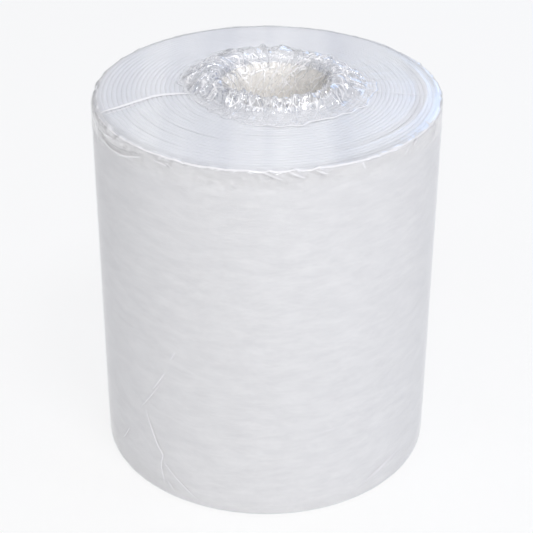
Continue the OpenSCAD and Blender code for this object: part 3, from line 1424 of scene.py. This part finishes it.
        # Film that lies on the end hardly shows, but for a broad soft sheen at a slant
        taut = FilmFinish("taut_clear_film", 0.24, 0.03, 0.05)
        # Drawn over the rim it is a little milky and mirrors the lamps in broken bright bands
        stretched = FilmFinish("stretched_clear_film", 0.20, 0.06, 0.12, 4.0, 0.1, 3.0, 0.12)
        # On the side it clings to the web, and its sheen shows near the outline alone
        smooth = FilmFinish("smooth_clear_film", 0.24, 0.03, 0.05, 9.0)
        # A fold is drawn as opaque white film, a painted highlight along the fold
        folded = FilmFinish("fold_painted_highlight", 0.2, 1.0, 0.08, 4.0, 0.0)
        rows = np.concatenate([collar[-1:], face, outer, foot])
        first, last = (len(face) + step for step in self.stretched_rows)
        finishes = np.zeros(len(rows) - 1, int)
        finishes[first:last] = 1
        finishes[last:] = 2
        skin = Patch(rows, finishes)
        folds = [fold.on_end(self.form, self.end_gap) for fold in self.end_folds]
        folds += [fold.on_side(outer) for fold in self.side_folds]
        folds += [self.edge_fold(collar), self.rim_fold(theta, outer)]
        gathered = mesh_object("film_collar", [Patch(collar)], [loose.material()])
        for name, values in (("film_place", place), ("film_state", state)):
            layer = gathered.data.attributes.new(name, "FLOAT_VECTOR", "POINT")
            layer.data.foreach_set("vector", values.astype(np.float32).ravel())
        return [
            gathered,
            mesh_object("film_skin", [skin], [f.material() for f in (taut, stretched, smooth)]),
            mesh_object("film_folds", folds, [folded.material()]),
        ]

    def edge_fold(self, collar: np.ndarray) -> Patch:
        """The fold along the front of the collar's edge, where loose film turns into taut film, drawn white
        as a painted highlight.

        Args:
            collar: The collar's points.

        Returns:
            The patch.
        """
        first, last = (round(self.columns * angle / 360) for angle in self.edge_fold_span)
        route = collar[-1, first:last:3] * np.array([1.006, 1.006, 1])
        outward = np.tile([0.0, 0.0, 1.0], (len(route), 1))
        return FilmFold((), 1.5, 0.4).tent(route, outward)

    def rim_fold(self, theta: np.ndarray, outer: np.ndarray) -> Patch:
        """The fine fold that runs along the front of the rim, drawn white as a painted highlight.

        Args:
            theta: Angles in radians.
            outer: Points of the film round the outside.

        Returns:
            The patch.
        """
        first, last = (round(self.columns * angle / 360) for angle in self.rim_fold_span)
        angle = theta[first:last:2]
        outward = np.stack([0.6 * np.cos(angle), 0.6 * np.sin(angle), 0.8 + 0 * angle], axis=-1)
        return FilmFold((), 0.95, 0.16).tent(outer[3, first:last:2] + 0.08 * outward, outward)

    def collar(self, theta: np.ndarray) -> tuple[np.ndarray, np.ndarray, np.ndarray]:
        """The tucked end and the collar, from the hem in the hole to the collar's outer edge.

        Args:
            theta: Angles in radians.

        Returns:
            Points, one row a ring. The film's place at each: on a cylinder, with the height along the film.
            Its state at each: how slack it is and how far it is in the hole.
        """
        form = self.form
        top = form.rim + form.crown
        start = form.bore_radius - 0.5
        edge = around(self.edge_radii, theta) + 0.9 * ripple(theta, (9, 14, 23, 31), 3)
        lip = around(self.lip_heights, theta) + 0.5 * ripple(theta, (5, 8, 13, 21), 5)
        foot = np.minimum(around(self.foot_radii, theta) + 0.7 * ripple(theta, (7, 11, 19), 4), edge - 1)
        share = self.even_shares(start, float(edge.mean()), float(lip.mean()))
        depth = np.linspace(1, 0, self.hole_rows + 1)[:-1]
        hem = 1.5 * ripple(theta, (3, 5, 11), 7)
        radius_in = start - around(self.billow, theta) * np.sin(math.pi * depth[:, None] ** 0.55)
        height_in = top - depth[:, None] * (self.tuck_top + hem)
        radius_out = start + (edge - start) * share[:, None]
        steep = np.clip((radius_out - start) / (foot - start), 0, 1)
        height_out = top + 0.2 + self.arch(steep) * lip
        radius = np.concatenate([radius_in, radius_out])
        height = np.concatenate([height_in, height_out])
        steps = np.hypot(np.diff(radius.mean(1)), np.diff(height.mean(1)))
        along = np.concatenate([[0], np.cumsum(steps)]) - self.tuck_top
        loose = np.concatenate([np.ones_like(radius_in), 0.04 + 0.96 * ease(1.08, 0.8, steep)])
        out, turn, drift = (loose * field for field in self.crumpling(theta, along, radius.mean(1)))
        slope_r = np.gradient(radius, axis=0)
        slope_z = np.gradient(height, axis=0)
        slope = np.hypot(slope_r, slope_z)
        radius = radius - slope_z / slope * out + slope_r / slope * drift
        height = height + slope_r / slope * out + slope_z / slope * drift
        angle = theta + turn / np.maximum(radius, 20)
        in_hole = (along < 0)[:, None]
        radius = np.where(in_hole, np.minimum(radius, form.bore_radius - 0.15), radius)
        x = form.bore_centre[0] + radius * np.cos(angle)
        y = form.bore_centre[1] + radius * np.sin(angle)
        over = form.end_height(x, y) + self.end_gap
        height = np.where(in_hole | (radius < form.bore_radius + 0.5), height, np.maximum(height, over))
        height[-1] = over[-1]
        sunk = np.minimum(along, 0)[:, None]
        swept = self.swept(theta, along[:, None], radius.mean(1)[:, None]) + 0.012 * sunk
        unrolled = self.place_radius
        flat = [unrolled * np.cos(swept), unrolled * np.sin(swept), along[:, None] + 0 * swept]
        tucked = ease(3, -4, along)[:, None] + 0 * swept
        state = [loose + 0 * swept, tucked, 0 * swept]
        return np.stack([x, y, height], axis=-1), np.stack(flat, axis=-1), np.stack(state, axis=-1)

    def swept(self, theta: np.ndarray, along: np.ndarray, radius: np.ndarray) -> np.ndarray:
        """Angles whose lines run aslant over the collar, as its folds do.

        Args:
            theta: Angles in radians.
            along: Places along the section, from the edge of the hole.
            radius: Mean radii there.

        Returns:
            Angles in radians, one row for each place.
        """
        return theta + self.sweep * np.cos(theta) * np.maximum(along, -6) / radius

    @staticmethod
    def arch(share: np.ndarray) -> np.ndarray:
        """The collar's height over its width, which peaks near the hole and runs out flat.

        Args:
            share: Shares of the width, from 0 at the hole to 1.

        Returns:
            Shares of the lip's height.
        """
        return np.maximum(np.sin(math.pi * share**0.52), 0) ** (0.75 + 0.7 * share)

    def even_shares(self, start: float, end: float, lip: float) -> np.ndarray:
        """Space the collar's rings evenly along its section.

        Args:
            start: Radius where the section starts.
            end: Radius where it ends.
            lip: Its height.

        Returns:
            Shares of the collar's width, from 0 to 1.
        """
        fine = np.linspace(0, 1, 400)
        height = lip * self.arch(fine)
        length = np.concatenate([[0], np.cumsum(np.hypot(np.diff(fine) * (end - start), np.diff(height)))])
        return np.interp(np.linspace(0, length[-1], self.collar_rows), length, fine)

    def crumpling(self, theta: np.ndarray, along: np.ndarray, radius: np.ndarray) -> tuple[np.ndarray, ...]:
        """How far the crumples push the film off its smooth form.

        Args:
            theta: Angles in radians.
            along: Places of the rings along the section, from the edge of the hole.
            radius: Their mean radii.

        Returns:
            Distances outwards, round the roll and along the section, in millimetres.
        """
        edge = along[-1]
        s = along[:, None]
        envelope = (0.3 + 0.7 * ease(-10, 2, s)) * ease(edge + 0.5, edge - 7, s) * around(self.crumple, theta)
        swept = self.swept(theta, s, radius[:, None])
        bend = 2.4 * ripple(swept, (3, 5, 8), 21) + 0.9 * ripple(swept, (11, 17), 22) * s / edge
        main = self.pleats * swept + bend + 0.05 * s * ripple(swept, (2, 4, 7), 23)
        fine = self.fine_pleats * swept + 2.5 * bend + 0.12 * s * ripple(swept, (4, 9), 24)
        length = FULL_TURN * self.place_radius
        columns = np.arange(len(theta))
        place = swept / FULL_TURN * len(theta)
        fields = []
        for cell_round, cell_along, seed in self.crumple_cells:
            facets = Facets(length, float(along[0]), float(edge), cell_round, cell_along, seed)
            grid = facets.read(len(theta), along)
            turned = [np.interp(p, columns, row, period=len(theta)) for p, row in zip(place, grid)]
            fields.append(np.stack(turned))
        big, medium, swing, slide = fields
        out = envelope * (1.0 * crest(main) + 0.3 * crest(fine) + 1.5 * big + 0.6 * medium)
        turn = envelope * (1.2 * crest(main + math.pi / 2) + 0.35 * crest(fine + 1.2) + 1.6 * swing)
        drift = envelope * 1.2 * slide
        return out, turn, drift

    def face(self, theta: np.ndarray, start: np.ndarray) -> np.ndarray:
        """The taut film from the collar's edge to the edge of the flat.

        Args:
            theta: Angles in radians.
            start: The collar's last ring.

        Returns:
            Points, one row a ring.
        """
        side = self.form.side(theta) - around(self.form.shoulders, theta)
        end = np.stack([side * np.cos(theta), side * np.sin(theta), 0 * theta], axis=-1)
        shares = np.concatenate([np.linspace(0, 0.74, 12)[1:], np.linspace(0.74, 1, 14)[1:-1]])
        pleats = np.maximum(0, crest(self.pleats * theta + 2 * ripple(theta, (3, 5), 21)))
        blister = around(self.blister, theta)
        rows = []
        for share in shares:
            row = start * (1 - share) + end * share
            pulled = 0.25 * (1 - share) ** 3 * pleats
            lift = self.end_gap + (self.gap - self.end_gap) * share
            lift = lift + blister * math.sin(math.pi * ease(0.7, 1, np.array(share)) ** 0.55)
            row[:, 2] = self.form.end_height(row[:, 0], row[:, 1]) + lift + pulled
            rows.append(row)
        return np.stack(rows)

    def foot(self, theta: np.ndarray, start: np.ndarray) -> np.ndarray:
        """The flat underside and the lower tucked end.

        Args:
            theta: Angles in radians.
            start: The last ring of the outside.

        Returns:
            Points, one row a ring.
        """
        form = self.form
        ring = np.stack([np.cos(theta), np.sin(theta), 0 * theta], axis=-1)
        centre = np.array([*form.bore_centre, 0])
        mouth = centre + ring * (form.bore_radius - 0.2)
        rows = [start * (1 - share) + mouth * share for share in (0.35, 0.7, 1.0)]
        for row in rows:
            row[:, 2] = 0
        hem = 1.2 * ripple(theta, (3, 5, 9), 8)
        for share in np.linspace(0.15, 1, 5):
            inset = 0.4 + 0.5 * share * (1 + crest(self.pleats * theta))
            row = centre + ring * (form.bore_radius - inset)[:, None]
            row[:, 2] = share * (self.tuck_foot + hem)
            rows.append(row)
        return np.stack(rows)


@dataclass
class Studio:
    """The camera at the photograph's place, the pale floor, the soft lights and the world."""

    radius: float = 88.25
    camera_place: tuple[float, float, float] = (0.3249, -7.8768, 5.8386)
    pitch: float = 0.5405
    yaw: float = -0.0412
    roll: float = 0.0042
    focal_px: float = 1513.4
    photo_px: float = 533.0
    sensor: float = 36.0
    aim_height: float = 0.12
    lamp_distance: float = 1.6
    even_light: float = 0.19
    overhead_light: float = 0.08
    panels: int = 5
    panel_turn: float = -1.57
    panel_light: float = 0.66

    def build(self) -> None:
        """Set up the view, the floor, the lamps and the world."""
        scene = bpy.context.scene
        scene.view_settings.view_transform = "Standard"
        scene.camera = self.camera()
        self.floor()
        self.lamp("key_softbox", 300, 62, 0.4, 6.2, Tone.KEY_LIGHT)
        self.lamp("front_softbox", 272, 30, 0.4, 5.2, Tone.KEY_LIGHT)
        self.lamp("overhead_softbox", 60, 88, 0.9, 0.6, Tone.TOP_LIGHT)
        self.lamp("left_softbox", 222, 52, 0.5, 1.6, Tone.KEY_LIGHT)
        self.lamp("right_softbox", 345, 30, 0.3, 2.6, Tone.TOP_LIGHT)
        self.lamp("blue_card", 66, 29, 0.75, 3.2, Tone.BLUE_CARD)
        self.snoot("hole_snoot", 294, 42, (5, 4, 211), 26, 21.0, Tone.KEY_LIGHT)
        self.world()

    def camera(self) -> bpy.types.Object:
        """Place the camera as the photograph was taken.

        Returns:
            The camera.
        """
        data = bpy.data.cameras.new("photo_camera")
        data.sensor_width = self.sensor
        data.lens = self.focal_px / self.photo_px * self.sensor
        data.clip_start = 0.01
        forward = Vector(
            (
                math.sin(self.yaw) * math.cos(self.pitch),
                math.cos(self.yaw) * math.cos(self.pitch),
                -math.sin(self.pitch),
            )
        )
        right = forward.cross(Vector((0, 0, 1))).normalized()
        up = right.cross(forward)
        tilted_right = math.cos(self.roll) * right + math.sin(self.roll) * up
        tilted_up = math.cos(self.roll) * up - math.sin(self.roll) * right
        turn = Matrix((tilted_right, tilted_up, -forward)).transposed().to_4x4()
        place = Vector(self.camera_place) * self.radius * MM
        camera = bpy.data.objects.new("photo_camera", data)
        camera.matrix_world = Matrix.Translation(place) @ turn
        bpy.context.scene.collection.objects.link(camera)
        return camera

    def floor(self) -> bpy.types.Object:
        """Lay a plain pale floor that looks white and keeps the roll's shadow.

        Returns:
            The floor.
        """
        half = 6.0
        mesh = bpy.data.meshes.new("floor")
        corners = [(-half, -half, 0), (half, -half, 0), (half, half, 0), (-half, half, 0)]
        mesh.from_pydata(corners, [], [(0, 1, 2, 3)])
        mesh.transform(Matrix.Translation((0, 0, -0.0003)))
        material = bpy.data.materials.new("pale_floor")
        material.use_nodes = True
        tree = material.node_tree
        tree.nodes.clear()
        paint = add_node(tree, "ShaderNodeBsdfDiffuse", {"Color": linear(Tone.FLOOR)}).outputs[0]
        glow = {"Color": linear(Tone.WHITE), "Strength": 1.0}
        white = add_node(tree, "ShaderNodeEmission", glow).outputs[0]
        lifted = add_node(tree, "ShaderNodeMixShader", {0: 0.8, 1: paint, 2: white}).outputs[0]
        ray = add_node(tree, "ShaderNodeLightPath").outputs
        values = {name: ray[f"Is {name} Ray"] for name in ("Camera", "Glossy", "Transmission")}
        steps = (("mirrored", "MAXIMUM", "Camera", "Glossy"), ("seen", "MAXIMUM", "mirrored", "Transmission"))
        work_out(tree, values, steps)
        surface = add_node(tree, "ShaderNodeMixShader", {0: values["seen"], 1: paint, 2: lifted}).outputs[0]
        add_node(tree, "ShaderNodeOutputMaterial", {"Surface": surface})
        mesh.materials.append(material)
        floor = bpy.data.objects.new("floor", mesh)
        bpy.context.scene.collection.objects.link(floor)
        return floor

    @staticmethod
    def way(azimuth: float, elevation: float) -> Vector:
        """Turn a direction from +X over +Y and an angle over the floor, in degrees, into a unit vector."""
        turn, lift = math.radians(azimuth), math.radians(elevation)
        return Vector((math.cos(turn) * math.cos(lift), math.sin(turn) * math.cos(lift), math.sin(lift)))

    @staticmethod
    def hang(data: bpy.types.Light, place: Vector, way: Vector) -> None:
        """Hang a lamp that shines against a direction.

        Args:
            data: The lamp's light.
            place: Where it hangs.
            way: The way from what it lights to the lamp.
        """
        lamp = bpy.data.objects.new(data.name, data)
        lamp.matrix_world = Matrix.Translation(place) @ (-way).to_track_quat("-Z", "Y").to_matrix().to_4x4()
        bpy.context.scene.collection.objects.link(lamp)

    def lamp(
        self,
        name: str,
        azimuth: float,
        elevation: float,
        size: float,
        watts: float,
        tone: Tone,
    ) -> None:
        """Hang a square softbox that faces the roll.

        Args:
            name: Name of the lamp.
            azimuth: Its direction from the roll, in degrees from +X over +Y.
            elevation: Its angle over the floor, in degrees.
            size: Its side, in metres.
            watts: Its power.
            tone: Its colour.
        """
        way = self.way(azimuth, elevation)
        data = bpy.data.lights.new(name, "AREA")
        data.shape = "SQUARE"
        data.size = size
        data.energy = watts
        data.color = linear(tone)[:3]
        self.hang(data, Vector((0, 0, self.aim_height)) + self.lamp_distance * way, way)

    def snoot(
        self,
        name: str,
        azimuth: float,
        elevation: float,
        target: tuple[float, float, float],
        reach: float,
        watts: float,
        tone: Tone,
    ) -> None:
        """Hang a narrow lamp that lights one small part of the roll.

        Args:
            name: Name of the lamp.
            azimuth: Its direction from the target, in degrees from +X over +Y.
            elevation: Its angle over the floor, in degrees.
            target: Where it points, in millimetres.
            reach: Radius that it lights there, in millimetres.
            watts: Its power.
            tone: Its colour.
        """
        way = self.way(azimuth, elevation)
        distance = 1.2
        data = bpy.data.lights.new(name, "SPOT")
        data.energy = watts
        data.color = linear(tone)[:3]
        data.shadow_soft_size = 0.012
        data.spot_size = 2 * math.atan(reach * MM / distance)
        data.spot_blend = 0.4
        self.hang(data, Vector(target) * MM + distance * way, way)

    def world(self) -> None:
        """Light the roll softly, bluer from overhead, with tall pale panels for the film to mirror."""
        world = bpy.data.worlds.new("soft_studio")
        bpy.context.scene.world = world
        world.use_nodes = True
        tree = world.node_tree
        tree.nodes.clear()
        way = add_node(tree, "ShaderNodeTexCoord").outputs["Generated"]
        split = add_node(tree, "ShaderNodeSeparateXYZ", {0: way})
        values = {"x": split.outputs[0], "y": split.outputs[1], "z": split.outputs[2]}
        work_out(
            tree,
            values,
            (
                ("lift", "MAXIMUM", "z", 0.0),
                ("overhead", "MULTIPLY", "lift", self.overhead_light),
                ("azimuth", "ARCTAN2", "y", "x"),
                ("beats", "MULTIPLY", "azimuth", float(self.panels)),
                ("shifted", "ADD", "beats", self.panel_turn),
                ("wave", "COSINE", "shifted", 0.0),
                ("wide", "MULTIPLY", "wave", 4.0),
                ("across", "ADD", "wide", 0.6),
                ("above", "MULTIPLY", "z", 8.0),
                ("foot", "SUBTRACT", "above", 0.6),
                ("below", "SUBTRACT", 0.93, "z"),
                ("head", "MULTIPLY", "below", 8.0),
                ("corner", "MINIMUM", "foot", "head"),
                ("inside", "MINIMUM", "corner", "across"),
                ("lit", "MAXIMUM", "inside", 0.0),
                ("capped", "MINIMUM", "lit", 1.0),
                ("panel", "MULTIPLY", "capped", self.panel_light),
                ("even", "ADD", "panel", self.even_light),
            ),
        )
        plain = add_node(
            tree,
            "ShaderNodeBackground",
            {"Color": linear(Tone.HORIZON), "Strength": values["even"]},
        ).outputs[0]
        sky = add_node(
            tree,
            "ShaderNodeBackground",
            {"Color": linear(Tone.SKY), "Strength": values["overhead"]},
        ).outputs[0]
        surface = add_node(tree, "ShaderNodeAddShader", {0: plain, 1: sky}).outputs[0]
        add_node(tree, "ShaderNodeOutputWorld", {"Surface": surface})


def keep_sizes() -> None:
    """Bring the view layer up to date.
    """
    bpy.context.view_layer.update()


def main() -> None:
    """Build the web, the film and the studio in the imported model's frame."""
    logging.basicConfig(level=logging.INFO, format="%(name)s: %(message)s")
    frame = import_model()
    form = RollForm.from_frame(frame)
    pieces = [(WoundWeb(form).build(), "wipes_roll", Slot.NONWOVEN)]
    pieces += [(film, "film_wrap", Slot.FILM) for film in FilmWrap(form).build()]
    for piece, node, slot in pieces:
        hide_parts(node)
        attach(piece, "root")
        LOG.info("%s: %d faces", piece.name, len(piece.data.polygons))
    Studio().build()
    keep_sizes()


if __name__ == "__main__":
    main()
